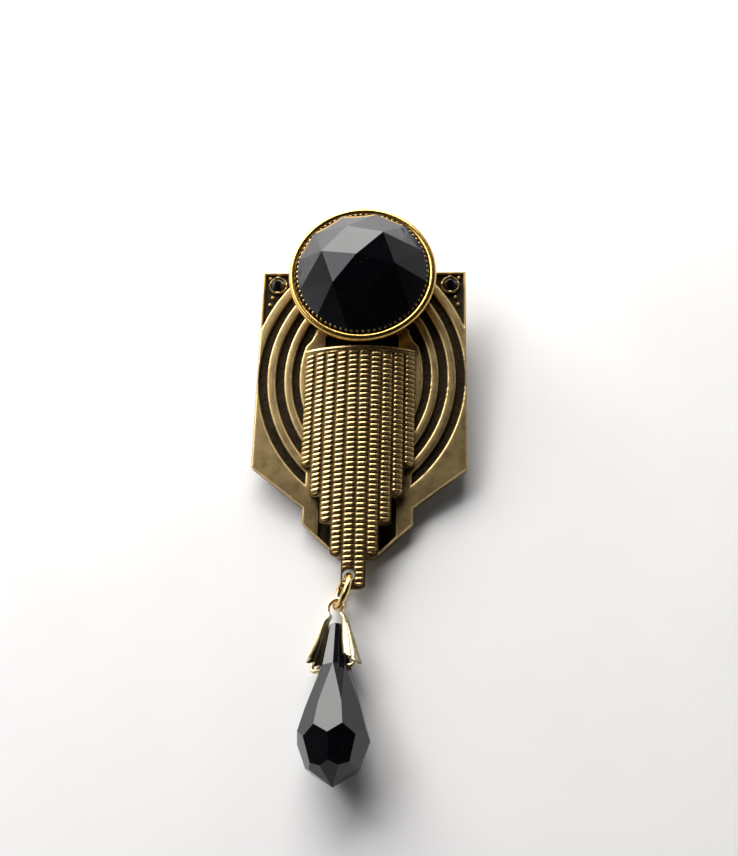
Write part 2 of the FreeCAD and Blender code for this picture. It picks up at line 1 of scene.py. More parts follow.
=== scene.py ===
import json
import math

import bmesh
import bpy
import numpy as np
from mathutils import Matrix, Vector


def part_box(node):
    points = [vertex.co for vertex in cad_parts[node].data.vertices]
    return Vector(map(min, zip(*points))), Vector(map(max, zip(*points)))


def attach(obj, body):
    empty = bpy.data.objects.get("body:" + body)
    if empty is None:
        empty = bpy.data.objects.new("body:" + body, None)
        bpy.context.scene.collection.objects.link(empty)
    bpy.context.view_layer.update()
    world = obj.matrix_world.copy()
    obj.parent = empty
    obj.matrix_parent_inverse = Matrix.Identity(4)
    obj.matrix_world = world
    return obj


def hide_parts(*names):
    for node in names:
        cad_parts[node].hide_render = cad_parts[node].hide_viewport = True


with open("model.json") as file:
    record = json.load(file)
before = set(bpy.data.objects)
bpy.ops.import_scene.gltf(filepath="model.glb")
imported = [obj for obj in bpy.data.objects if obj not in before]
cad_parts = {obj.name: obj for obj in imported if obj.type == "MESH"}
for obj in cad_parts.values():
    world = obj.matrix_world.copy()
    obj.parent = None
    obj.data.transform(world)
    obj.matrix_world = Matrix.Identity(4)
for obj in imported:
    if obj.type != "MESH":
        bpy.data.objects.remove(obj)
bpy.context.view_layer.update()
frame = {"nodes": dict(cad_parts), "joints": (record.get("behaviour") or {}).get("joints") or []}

MM = 0.001
NODES = frame["nodes"]
JOINTS = {joint["name"]: joint for joint in frame["joints"]}


# ---- places -----------------------------------------------------------------------------

def turn(axis, degrees):
    """A turning matrix about one of the axes x, y or z."""
    return np.array(Matrix.Rotation(math.radians(degrees), 3, axis.upper()))


def joint_place(name):
    """Where a joint's axis stands, and its direction, of length one."""
    joint = JOINTS[name]
    axis = np.array(joint["axis"], float)
    return np.array(joint["pos_m"], float), axis / np.linalg.norm(axis)


def middle_of(node):
    """The middle of a CAD node's box."""
    low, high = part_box(node)
    return np.array((low + high) / 2)


class Place:
    """A local frame: millimetres along its three axes from its origin, given back in metres."""

    def __init__(self, origin, axes):
        self.origin = origin
        self.axes = axes

    def __call__(self, points):
        return self.origin + MM * np.asarray(points, float).reshape(-1, 3) @ self.axes.T

    def turned(self, axis, degrees):
        return Place(self.origin, self.axes @ turn(axis, degrees))

    def moved(self, x, y, z):
        return Place(self.origin + MM * self.axes @ np.array([x, y, z]), self.axes)


HINGE_ON_PLATE = (-10.5, 9.5, -4.6)
CAMERA_ON_PLATE = (9.125, -48.018, 118.014)
CAMERA_AHEAD = (-0.0630, 0.3284, -0.9424)
CAMERA_UP = (-0.0031, 0.9442, 0.3292)
hinge_at, plate_up = joint_place("stem_hinge")
plate_right = np.array([1.0, 0.0, 0.0])
plate_axes = np.column_stack([plate_right, plate_up, np.cross(plate_right, plate_up)])
on_plate = Place(hinge_at - MM * plate_axes @ np.array(HINGE_ON_PLATE), plate_axes)
on_setting = on_plate.moved(0, 14.2, 0)
camera_at = on_plate(CAMERA_ON_PLATE)[0]

PENDANT_YAW = 2.6
PENDANT_PITCH = 14.8
PENDANT_ROLL = -24.0
DROP_FALL = -1.25
pin_at, pin_axis = joint_place("drop_swing")
pendant_axes = plate_axes @ turn("z", PENDANT_YAW) @ turn("x", -90 - PENDANT_PITCH)
on_bail = Place(pin_at, pendant_axes @ turn("z", PENDANT_ROLL))
on_drop = on_bail.turned("x", DROP_FALL)


# ---- meshes -----------------------------------------------------------------------------

def smooth_step(t):
    """Rises from 0 to 1 while t does, level at both ends: three t squared less two t cubed."""
    t = np.clip(t, 0, 1)
    return t * t * (3 - 2 * t)


def net_faces(rows, columns, wrap_rows=False, wrap_columns=False):
    """The four corners of every cell of a rows by columns net of points."""
    down = np.arange(rows if wrap_rows else rows - 1)
    along = np.arange(columns if wrap_columns else columns - 1)
    down, along = np.meshgrid(down, along, indexing="ij")
    below = (down + 1) % rows
    beside = (along + 1) % columns
    corners = [
        down * columns + along,
        down * columns + beside,
        below * columns + beside,
        below * columns + along,
    ]
    return np.stack(corners, axis=-1).reshape(-1, 4).tolist()


def make_piece(name, points, faces, body, nodes, finish, smooth=True, marks=None):
    """A closed mesh that rides on a body in place of CAD nodes, with its faces turned outwards."""
    mesh = bpy.data.meshes.new(name)
    mesh.from_pydata(np.asarray(points).tolist(), [], faces)
    work = bmesh.new()
    work.from_mesh(mesh)
    bmesh.ops.recalc_face_normals(work, faces=work.faces)
    work.to_mesh(mesh)
    work.free()
    for mark, amounts in (marks or {}).items():
        layer = mesh.attributes.new(mark, "FLOAT", "POINT")
        layer.data.foreach_set("value", np.asarray(amounts, np.float32))
    mesh.polygons.foreach_set("use_smooth", np.full(len(mesh.polygons), smooth))
    mesh.materials.append(finish)
    piece = bpy.data.objects.new(name, mesh)
    bpy.context.scene.collection.objects.link(piece)
    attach(piece, body)
    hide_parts(*nodes)
    return piece


def bevelled(piece, width, segments=2, angle=25):
    """Rounds a piece's sharp edges by a width in millimetres."""
    bevel = piece.modifiers.new("worn_edges", "BEVEL")
    bevel.width = width * MM
    bevel.segments = segments
    bevel.limit_method = "ANGLE"
    bevel.angle_limit = math.radians(angle)
    bevel.harden_normals = True
    return piece


def revolved(profile, steps, place):
    """A closed profile of radius and height, carried round the Z axis in equal steps."""
    profile = np.array(profile, float)
    angle = np.linspace(0, 2 * np.pi, steps, endpoint=False)[:, None]
    points = np.stack([
        profile[None, :, 0] * np.cos(angle),
        profile[None, :, 0] * np.sin(angle),
        np.broadcast_to(profile[None, :, 1], (steps, len(profile))),
    ], axis=-1)
    return place(points), net_faces(steps, len(profile), True, True)


def turned_solid(profile, steps, place):
    """A profile from bottom to top carried round the Z axis, shut by a flat face at each end."""
    profile = np.array(profile, float)
    angle = np.linspace(0, 2 * np.pi, steps, endpoint=False)[None, :]
    points = np.stack([
        profile[:, None, 0] * np.cos(angle),
        profile[:, None, 0] * np.sin(angle),
        np.broadcast_to(profile[:, None, 1], (len(profile), steps)),
    ], axis=-1)
    faces = net_faces(len(profile), steps, False, True)
    faces.append(list(range(steps)))
    faces.append(list(range((len(profile) - 1) * steps, len(profile) * steps)))
    return place(points), faces


def tube_along(path, radius, sides, place):
    """A round tube along a path: circles square to the path, shut by a face at each end.

    Each circle's two directions are the path's own, crossed with one fixed side direction.
    """
    path = np.array(path, float)
    ahead = np.gradient(path, axis=0)
    ahead /= np.linalg.norm(ahead, axis=1, keepdims=True)
    spread = path - path.mean(axis=0)
    fixed = np.linalg.svd(spread)[2][2]
    first = np.cross(ahead, fixed)
    first /= np.linalg.norm(first, axis=1, keepdims=True)
    second = np.cross(ahead, first)
    angle = np.linspace(0, 2 * np.pi, sides, endpoint=False)[None, :, None]
    radius = np.broadcast_to(np.asarray(radius, float), (len(path),))[:, None, None]
    points = path[:, None] + radius * (
        np.cos(angle) * first[:, None] + np.sin(angle) * second[:, None])
    faces = net_faces(len(path), sides, False, True)
    faces.append(list(range(sides)))
    faces.append(list(range((len(path) - 1) * sides, len(path) * sides)))
    return place(points), faces


# ---- finishes ---------------------------------------------------------------------------

class Finish:
    """A node material being put together."""

    def __init__(self, name):
        self.material = bpy.data.materials.new(name)
        self.material.use_nodes = True
        self.nodes = self.material.node_tree.nodes
        self.links = self.material.node_tree.links
        self.shader = self.nodes["Principled BSDF"]
        self.where = self.nodes.new("ShaderNodeTexCoord").outputs["Object"]

    def join(self, start, end):
        self.links.new(start, end)

    def noise(self, size, detail=3.0):
        """Clouds whose lumps are about size millimetres across."""
        cloud = self.nodes.new("ShaderNodeTexNoise")
        cloud.inputs["Scale"].default_value = 1 / (size * MM)
        cloud.inputs["Detail"].default_value = detail
        cloud.inputs["Roughness"].default_value = 0.6
        self.join(self.where, cloud.inputs["Vector"])
        return cloud.outputs["Fac"]

    def mark(self, name):
        """A number kept on the mesh's points."""
        attribute = self.nodes.new("ShaderNodeAttribute")
        attribute.attribute_name = name
        return attribute.outputs["Fac"]

    def spread(self, source, low, high, start=0.0, end=1.0):
        """Carries low to high of the source over to start to end, held within them."""
        change = self.nodes.new("ShaderNodeMapRange")
        sockets = ("From Min", "From Max", "To Min", "To Max")
        for socket, amount in zip(sockets, (low, high, start, end)):
            change.inputs[socket].default_value = amount
        self.join(source, change.inputs["Value"])
        return change.outputs["Result"]

    def combine(self, first, second, way="ADD"):
        """The sum of two sockets, or their product with way MULTIPLY, held from 0 to 1."""
        total = self.nodes.new("ShaderNodeMath")
        total.operation = way
        total.use_clamp = True
        self.join(first, total.inputs[0])
        self.join(second, total.inputs[1])
        return total.outputs[0]

    def blend(self, amount, first, second):
        """From the first colour to the second as the amount rises; each a colour or a socket."""
        mix = self.nodes.new("ShaderNodeMix")
        mix.data_type = "RGBA"
        self.join(amount, mix.inputs["Factor"])
        for socket, colour in ((mix.inputs[6], first), (mix.inputs[7], second)):
            if isinstance(colour, tuple):
                socket.default_value = (*colour, 1.0)
            else:
                self.join(colour, socket)
        return mix.outputs[2]

    def bump(self, height, depth, strength=1.0):
        """Dents the surface by the height, depth millimetres at most, over any bump before."""
        dent = self.nodes.new("ShaderNodeBump")
        dent.inputs["Strength"].default_value = strength
        dent.inputs["Distance"].default_value = depth * MM
        self.join(height, dent.inputs["Height"])
        if self.shader.inputs["Normal"].links:
            self.join(self.shader.inputs["Normal"].links[0].from_socket, dent.inputs["Normal"])
        self.join(dent.outputs["Normal"], self.shader.inputs["Normal"])


def metal(name, bright, dull, roughness, dark=(0.03, 0.018, 0.008), grain=0.16, dent=0.012,
          relief=False, rubbed=None, blotch=2.4, recess_grain=0.22):
    """A brass or steel surface: slow clouds of tarnish, fine grain in its gloss and its dents.

    With relief it also reads the mesh's marks: dark at recess, which is patina in the hollows and
    painted shade on the bail's inner skin and the fringe's underside, and bright at worn, which is
    rubbed wear and, along the plate's edges, also a painted highlight.
    """
    finish = Finish(name)
    shader = finish.shader
    clouds = finish.spread(finish.noise(blotch, 5.0), 0.36, 0.66)
    colour = finish.blend(clouds, dull, bright)
    specks = finish.noise(grain, 2.0)
    colour = finish.blend(finish.spread(specks, 0.56, 0.72, 0.0, 0.6), colour, dark)
    gloss = finish.spread(finish.noise(grain * 2, 3.0), 0.3, 0.7, roughness * 0.8, roughness * 1.25)
    shader.inputs["Metallic"].default_value = 1.0
    if relief:
        recess = finish.mark("recess")
        worn = finish.mark("worn")
        thinned = finish.spread(finish.noise(0.5, 4.0), 0.2, 0.7, 0.88, 1.0)
        # Darkened towards dark by the recess mark: patina in the hollows, and painted shade on the
        # bail's inner skin and the fringe's underside.
        patina_and_painted_shade = finish.combine(recess, thinned, "MULTIPLY")
        uneven = finish.spread(finish.noise(0.7, 3.0), 0.3, 0.6, 0.55, 1.0)
        # Brightened towards the rubbed colour by the worn mark: rubbed wear, and along the plate's
        # edges also a painted highlight.
        wear_and_painted_highlight = finish.combine(worn, uneven, "MULTIPLY")
        colour = finish.blend(wear_and_painted_highlight, colour, rubbed or bright)
        colour = finish.blend(patina_and_painted_shade, colour, dark)
        gloss = finish.combine(gloss, finish.spread(recess, 0.2, 1.0, 0.0, 0.22))
        pits = finish.combine(finish.noise(recess_grain, 3.0), recess, "MULTIPLY")
        finish.bump(pits, 0.10)
    finish.join(colour, shader.inputs["Base Color"])
    finish.join(gloss, shader.inputs["Roughness"])
    finish.bump(specks, dent)
    return finish.material


def black_glass():
    """Jet-black pressed glass, glossy, with a faint uneven polish and a few dust specks."""
    finish = Finish("black_pressed_glass")
    shader = finish.shader
    shader.inputs["IOR"].default_value = 1.52
    dust = finish.spread(finish.noise(0.12, 1.0), 0.74, 0.80, 0.0, 0.6)
    colour = finish.blend(dust, (0.003, 0.003, 0.0045), (0.16, 0.16, 0.17))
    finish.join(colour, shader.inputs["Base Color"])
    polish = finish.spread(finish.noise(1.6, 4.0), 0.35, 0.7, 0.03, 0.10)
    finish.join(finish.combine(polish, dust), shader.inputs["Roughness"])
    finish.bump(finish.noise(2.6, 2.0), 0.016, 0.5)
    return finish.material


# The plate's rubbed colour is rubbed wear, and along its edges also a painted highlight.
antiqued_plate = metal("antiqued_plate_brass", (0.41, 0.295, 0.13), (0.23, 0.165, 0.078), 0.40,
                       dark=(0.014, 0.010, 0.007), relief=True, rubbed=(0.88, 0.65, 0.30), grain=0.12,
                       dent=0.022)
plain_plate = metal("antiqued_setting_brass", (0.34, 0.23, 0.09), (0.12, 0.075, 0.03), 0.34,
                    dark=(0.010, 0.008, 0.006), relief=True, rubbed=(0.80, 0.58, 0.28))
stamped_brass = metal("stamped_fringe_brass", (0.62, 0.415, 0.16), (0.38, 0.245, 0.09), 0.28,
                      dark=(0.026, 0.014, 0.005), relief=True, rubbed=(0.92, 0.68, 0.32), grain=0.12,
                      dent=0.008, recess_grain=0.16)
polished_gold = metal("polished_gold_brass", (0.92, 0.60, 0.18), (0.80, 0.48, 0.13), 0.22,
                      dark=(0.45, 0.25, 0.06), dent=0.003, blotch=4.0)
ring_gold = metal("jump_ring_gold", (0.90, 0.66, 0.28), (0.76, 0.53, 0.21), 0.20,
                  dark=(0.40, 0.25, 0.08), dent=0.003)
pale_brass = metal("pale_bail_brass", (0.66, 0.58, 0.36), (0.46, 0.40, 0.25), 0.30,
                   dark=(0.10, 0.075, 0.035), relief=True, rubbed=(0.88, 0.70, 0.38), dent=0.006)
raw_brass = metal("raw_fitting_brass", (0.70, 0.51, 0.23), (0.50, 0.35, 0.15), 0.30,
                  dark=(0.14, 0.09, 0.04), dent=0.006)
pin_steel = metal("drawn_pin_steel", (0.66, 0.65, 0.62), (0.50, 0.49, 0.47), 0.24,
                  dark=(0.20, 0.19, 0.18), dent=0.004)
glass = black_glass()


# ---- plate ------------------------------------------------------------------------------

PLATE_TOP = 16.0
PLATE_TOE = -24.05
OUTLINE_Y = (-24.05, -19.7, -17.6, -12.3, 16.0)
OUTLINE_X = (2.35, 7.05, 7.05, 14.0, 14.0)
PLATE_BACK = -1.4
BEVEL = 0.15
ARC_X = 5.95
ARC_Y = 0.45
GROOVE_FOOT = 6.85
GROOVES = ((19.7, 18.6, 8.4), (17.4, 16.3, 7.6), (15.2, 14.25, 6.35))
CORNER_ARC = 21.0
RECESS_DEEP = 0.5
CORNER_AT = (11.9, 14.1)
BEADS = ((13.1, 15.2), (12.6, 12.25), (12.95, 11.15))
BEAD_ROUND = 0.27
TOE_RIM = 0.45
TOE_SLOPE = (24.05 - 19.7) / (7.05 - 2.35)


def plate_face(x, y):
    """The struck front: a field at 0 less the recess depth wherever a recess is inside.

    Inside is the largest, over all recesses, of the least distance in from each of its sides.
    A wall is a smooth step 0.2 wide. Collets and beads stand up from the recess floor.
    """
    far = np.abs(x)
    reach = np.hypot(far + ARC_X, y - ARC_Y)
    inside = np.full(x.shape, -9.0)
    for number, (outer, inner, head) in enumerate(GROOVES):
        if number == 2:
            inner = inner - 0.42 * smooth_step((y - 4.6) / 1.2) * smooth_step((7.6 - y) / 0.8)
        ends = np.where(y > ARC_Y, far - head, far - GROOVE_FOOT)
        inside = np.maximum(inside, np.minimum(np.minimum(outer - reach, reach - inner), ends))
    corner = np.minimum(np.minimum(reach - CORNER_ARC, 13.7 - far), np.minimum(15.7 - y, y - ARC_Y))
    toe = ((y - PLATE_TOE - TOE_RIM) - (far - 2.35) * TOE_SLOPE) / math.hypot(1, TOE_SLOPE)
    channel = np.minimum(np.minimum(4.9 - far, 7.5 - y), toe)
    inside = np.maximum(np.maximum(inside, corner), channel)
    height = -RECESS_DEEP * smooth_step(inside / 0.2 + 0.5)
    height += 0.035 * smooth_step(-inside / 0.5) - 0.035
    recess = smooth_step(inside / 0.14 + 0.55)
    # A narrow band along the top edge of each recess wall, rubbed bright: partly wear, partly a
    # painted highlight where light catches the rounded edge.
    worn = np.exp(-((inside + 0.13) / 0.09) ** 2)
    from_collet = np.hypot(far - CORNER_AT[0], y - CORNER_AT[1])
    collet = 1 - smooth_step((np.abs(from_collet - 1.155) - 0.06) / 0.12)
    claws = 0.72 + 0.28 * smooth_step(np.cos(4 * np.arctan2(y - CORNER_AT[1], far - CORNER_AT[0])))
    height = np.maximum(height, -RECESS_DEEP + 0.55 * collet * claws)
    worn = np.maximum(worn, collet)
    for bead_x, bead_y in BEADS:
        away = np.hypot(far - bead_x, y - bead_y) / BEAD_ROUND
        bead = np.sqrt(np.clip(1 - away ** 2, 0, 1))
        height = np.maximum(height, np.where(away < 1, -RECESS_DEEP + 0.38 * bead, -9))
        worn = np.maximum(worn, smooth_step(1.4 * bead))
    return height, recess * (1 - smooth_step(1.5 * (worn - 0.2))), worn


def base_plate():
    """The plate: its front is a net whose rows are stretched to the outline's half width.

    The half width is a broken line in y. The outermost line of points is dropped by the bevel,
    and one quad per row closes the back and each side.
    """
    inner_columns = np.concatenate([np.linspace(0, 4.4, 13), np.linspace(4.5, 13.85, 93)]) / 13.85
    inner_columns = np.concatenate([-inner_columns[:0:-1], inner_columns])
    inner_rows = np.linspace(PLATE_TOE + BEVEL, PLATE_TOP - BEVEL, 366)
    y = np.concatenate([[PLATE_TOE], inner_rows, [PLATE_TOP]])
    half = np.interp(y, OUTLINE_Y, OUTLINE_X)[:, None]
    x = np.concatenate([-half, inner_columns[None] * (half - BEVEL), half], axis=1)
    y = np.broadcast_to(y[:, None], x.shape).copy()
    z, recess, worn = plate_face(x, y)
    rim = np.zeros(x.shape, bool)
    rim[[0, -1], :] = True
    rim[:, [0, -1]] = True
    near_rim = np.minimum(np.minimum(half - np.abs(x), PLATE_TOP - y), y - PLATE_TOE)
    # A bright band along the plate's rounded outer edge: partly wear, partly a painted highlight.
    worn = np.maximum(worn, np.exp(-((near_rim - 0.12) / 0.12) ** 2) * 0.9)
    z[rim] = -BEVEL
    recess[rim] = 0
    rows, columns = x.shape
    back = np.stack([
        np.stack([-half[:, 0], y[:, 0], np.full(rows, PLATE_BACK)], axis=-1),
        np.stack([half[:, 0], y[:, 0], np.full(rows, PLATE_BACK)], axis=-1),
    ], axis=1).reshape(-1, 3)
    points = np.concatenate([np.stack([x, y, z], axis=-1).reshape(-1, 3), back])
    faces = net_faces(rows, columns)
    start = rows * columns
    row = np.arange(rows - 1)
    left, right = start + 2 * row, start + 2 * row + 1
    faces += np.stack([left, right, right + 2, left + 2], axis=-1).tolist()
    first = row * columns
    last = first + columns - 1
    faces += np.stack([first, left, left + 2, first + columns], axis=-1).tolist()
    faces += np.stack([last, right, right + 2, last + columns], axis=-1).tolist()
    faces.append(list(range(columns)) + [start + 1, start])
    top = (rows - 1) * columns
    faces.append(list(range(top, top + columns)) + [start + 2 * rows - 1, start + 2 * rows - 2])
    extra = np.zeros(2 * rows)
    marks = {
        "recess": np.concatenate([recess.ravel(), extra]),
        "worn": np.concatenate([worn.ravel(), extra]),
    }
    piece = make_piece("struck_plate", on_plate(points), faces, "brooch_body", ["base_plate"],
                       antiqued_plate, marks=marks)
    piece.data.set_sharp_from_angle(angle=math.radians(50))


base_plate()


# ---- big setting ------------------------------------------------------------------------

BEZEL_BEAD = 0.525
BEZEL_BEAD_AT = (9.475, 2.9)
BEZEL_WALL = ((9.14, 1.9), (9.12, 0.0), (9.42, 0.0), (9.44, 1.9))
CUP_TEETH = 74
CUP_PROFILE = (
    # radius, height, how far a tooth lifts the point, how rubbed it is on a tooth
    (0.80, 0.00, 0.00, 0.0),
    (8.92, 0.00, 0.00, 0.0),
    (8.92, 2.40, 0.00, 0.0),
    (8.93, 3.00, 0.00, 0.0),
    (8.93, 3.22, 0.12, 0.5),
    (8.80, 3.34, 0.24, 1.0),
    (8.66, 3.36, 0.17, 1.0),
    (8.72, 3.20, 0.00, 0.2),
    (8.77, 2.90, 0.00, 0.0),
    (8.77, 0.35, 0.00, 0.0),
    (0.80, 0.35, 0.00, 0.0),
)


def bezel_ring():
    """A wall with a round bead on top: a circle's arc joined to the wall's two sides."""
    around = np.radians(np.linspace(-62, 242, 34))[:, None]
    bead = BEZEL_BEAD_AT + BEZEL_BEAD * np.concatenate([np.cos(around), np.sin(around)], axis=1)
    profile = np.concatenate([bead, BEZEL_WALL])
    points, faces = revolved(profile, 300, on_setting)
    piece = make_piece("bezel_bead", points, faces, "brooch_body", ["bezel_ring"],
                       polished_gold)
    piece.data.set_sharp_from_angle(angle=math.radians(60))


def setting_cup():
    """A thin cup whose lip is cut into teeth: the lip's height and lean follow a wave in angle."""
    steps = CUP_TEETH * 8
    angle = np.linspace(0, 2 * np.pi, steps, endpoint=False)[:, None]
    tooth = smooth_step(0.5 + 0.8 * np.cos(CUP_TEETH * angle))
    radius, level, lift, rubbed = np.array(CUP_PROFILE).T[:, None]
    points = np.stack([
        radius * np.cos(angle),
        radius * np.sin(angle),
        level + lift * tooth,
    ], axis=-1)
    tip = tooth * rubbed
    make_piece("toothed_cup", on_setting(points), net_faces(steps, len(CUP_PROFILE), True, True),
               "brooch_body", ["setting_cup"], plain_plate,
               marks={"recess": (1 - 0.95 * tip).ravel(), "worn": tip.ravel()})


STONE_TURN = -11.0
STONE_ROUND = 8.72
GIRDLE_HIGH = 3.84
STONE_FOOT = 2.6
STAR_ROUND = 4.9
STAR_AT = (-0.30, 0.22, 7.10)
CROWN_AT = (-0.45, -0.05, 8.40)
ARC_STEPS = 10


def ring_points(radius, height, degrees):
    """Points at a radius and height, at each of the angles."""
    angle = np.radians(np.asarray(degrees, float))
    return np.stack([radius * np.cos(angle), radius * np.sin(angle), height + 0 * angle], axis=-1)


def main_stone():
    """A rose-cut dome: six facets at the crown, six below them, and twelve down to the girdle.

    Each of the twelve is a plane through a star point and two girdle points, carried out to the
    stone's round side, so its lower edge is where the plane's height meets that side.
    """
    star = np.array(STAR_AT) + ring_points(STAR_ROUND, 0.0, STONE_TURN + 60 * np.arange(6))
    edge_angles = STONE_TURN + 30 / ARC_STEPS * np.arange(12 * ARC_STEPS)
    edge = ring_points(STONE_ROUND, GIRDLE_HIGH, edge_angles)
    for number in range(12):
        corner = star[(number + 1) // 2 % 6]
        here = edge[number * ARC_STEPS]
        there = edge[(number + 1) * ARC_STEPS % len(edge)]
        normal = np.cross(here - corner, there - corner)
        arc = slice(number * ARC_STEPS + 1, (number + 1) * ARC_STEPS)
        flat = (edge[arc, :2] - corner[:2]) @ normal[:2]
        edge[arc, 2] = corner[2] - flat / normal[2]
    foot = edge.copy()
    foot[:, 2] = STONE_FOOT
    points = np.concatenate([[CROWN_AT], star, edge, foot])
    count = len(edge)
    first_edge = 7
    first_foot = first_edge + count
    faces = []
    for number in range(6):
        here, there = 1 + number, 1 + (number + 1) % 6
        between = first_edge + (2 * number + 1) * ARC_STEPS
        faces.append([0, here, there])
        faces.append([here, between, there])
    for number in range(12):
        arc = first_edge + (number * ARC_STEPS + np.arange(ARC_STEPS + 1)) % count
        faces.append([1 + (number + 1) // 2 % 6] + arc.tolist())
    step = np.arange(count)
    after = (step + 1) % count
    belt = [first_edge + step, first_edge + after, first_foot + after, first_foot + step]
    faces += np.stack(belt, axis=-1).tolist()
    faces.append((first_foot + step).tolist())
    piece = make_piece("rose_cut_stone", on_setting(points), faces, "brooch_body", ["main_stone"],
                       glass, smooth=False)
    bevelled(piece, 0.03, segments=1, angle=8)


CHATON_TABLE = (0.52, 0.84)
CHATON_ROUND = 1.0
CHATON_GIRDLE = 0.42


def corner_stone(hand, side):
    """A small chaton: an eight-sided table, kite and star facets, and a straight belt."""
    table = ring_points(*CHATON_TABLE, 45 * np.arange(8))
    girdle = ring_points(CHATON_ROUND, CHATON_GIRDLE, 22.5 * np.arange(16))
    foot = ring_points(CHATON_ROUND, 0.0, 22.5 * np.arange(16))
    faces = [list(range(8))]
    for number in range(8):
        after = (number + 1) % 8
        before_kite, kite, past_kite = (8 + (2 * number + shift) % 16 for shift in (-1, 0, 1))
        faces.append([number, before_kite, kite])
        faces.append([number, kite, past_kite])
        faces.append([number, past_kite, after])
    for corner in range(16):
        beside = (corner + 1) % 16
        faces.append([8 + corner, 8 + beside, 24 + beside, 24 + corner])
    faces.append(list(range(24, 40)))
    place = on_plate.moved(side * CORNER_AT[0], CORNER_AT[1], -RECESS_DEEP)
    piece = make_piece(f"chaton_{hand}", place(np.concatenate([table, girdle, foot])), faces,
                       "brooch_body", [f"corner_stone_{hand}"], glass, smooth=False)
    bevelled(piece, 0.02, segments=1, angle=8)


bezel_ring()
setting_cup()
main_stone()
corner_stone("right", 1)
corner_stone("left", -1)


# ---- fringe panel -----------------------------------------------------------------------

PANEL_X = -0.15
PANEL_TOP = 4.0
PANEL_HALF = 7.3
PANEL_ARC = 14.3
PANEL_CROWN = 2.0
PANEL_THICK = 0.7
COLUMN = 1.5
STRIP_HALF = 0.62
RIB_PITCH = 0.67
RIB_PROUD = 0.34
TIPS = (-28.0, -24.0, -19.9, -16.3, -12.2)
FLANGE = 0.3
EYE_AT = (-0.55, -26.6)
EYE_ROUND = 0.80


def panel_arch(x):
    """The panel's arch: a circle's arc whose crown stands above the plate."""
    return np.sqrt(PANEL_ARC ** 2 - x ** 2) - PANEL_ARC + PANEL_CROWN


def fringe_height(x, y):
    """The arch, with a round strip down each column and a bar across the top.

    A strip's height is its dome, from the fifth power of the distance from its middle line, times
    its ribs, a row of round lobes along y. Below a column's end the distance is taken from the
    end's centre, so every strip finishes in a half circle.
    """
    column = np.clip(np.floor(np.abs(x) / COLUMN).astype(int), 0, 4)
    middle = np.where(x < 0, -1, 1) * COLUMN * (column + 0.5)
    low = np.array(TIPS)[column] + STRIP_HALF
    across = x - middle
    away = np.hypot(across, np.minimum(y - low, 0)) / STRIP_HALF
    dome = np.sqrt(np.clip(1 - away ** 5, 0, 1))
    slant = 0.03 - 0.010 * x
    phase = (y - slant * across + 0.21 * column) / RIB_PITCH
    lobe = np.abs(2 * (phase - np.floor(phase)) - 1)
    rib = np.sqrt(np.clip(1 - (lobe * 1.10) ** 2.2, 0, 1))
    head = smooth_step((3.14 + 0.003 * x ** 2 - y) / 0.12)
    eye = smooth_step((np.hypot(x - EYE_AT[0], y - EYE_AT[1]) - EYE_ROUND) / 0.3)
    strip = dome * (0.10 + 0.90 * rib) * head * eye
    bar = np.sqrt(np.clip(1 - ((y - 3.68) / 0.34) ** 2, 0, 1))
    thread = np.sqrt(np.clip(1 - ((y - 3.22 - 0.003 * x ** 2) / 0.10) ** 2, 0, 1))
    top = 0.12 + np.maximum(RIB_PROUD * strip, np.maximum(0.34 * bar, 0.16 * thread))
    recess = np.clip(1.1 - np.maximum(strip * 1.45, np.maximum(bar, thread) * 1.7), 0, 1)
    worn = smooth_step((np.maximum(strip, np.maximum(bar, thread)) - 0.80) / 0.2)
    return panel_arch(x) + top, recess * 0.92, worn


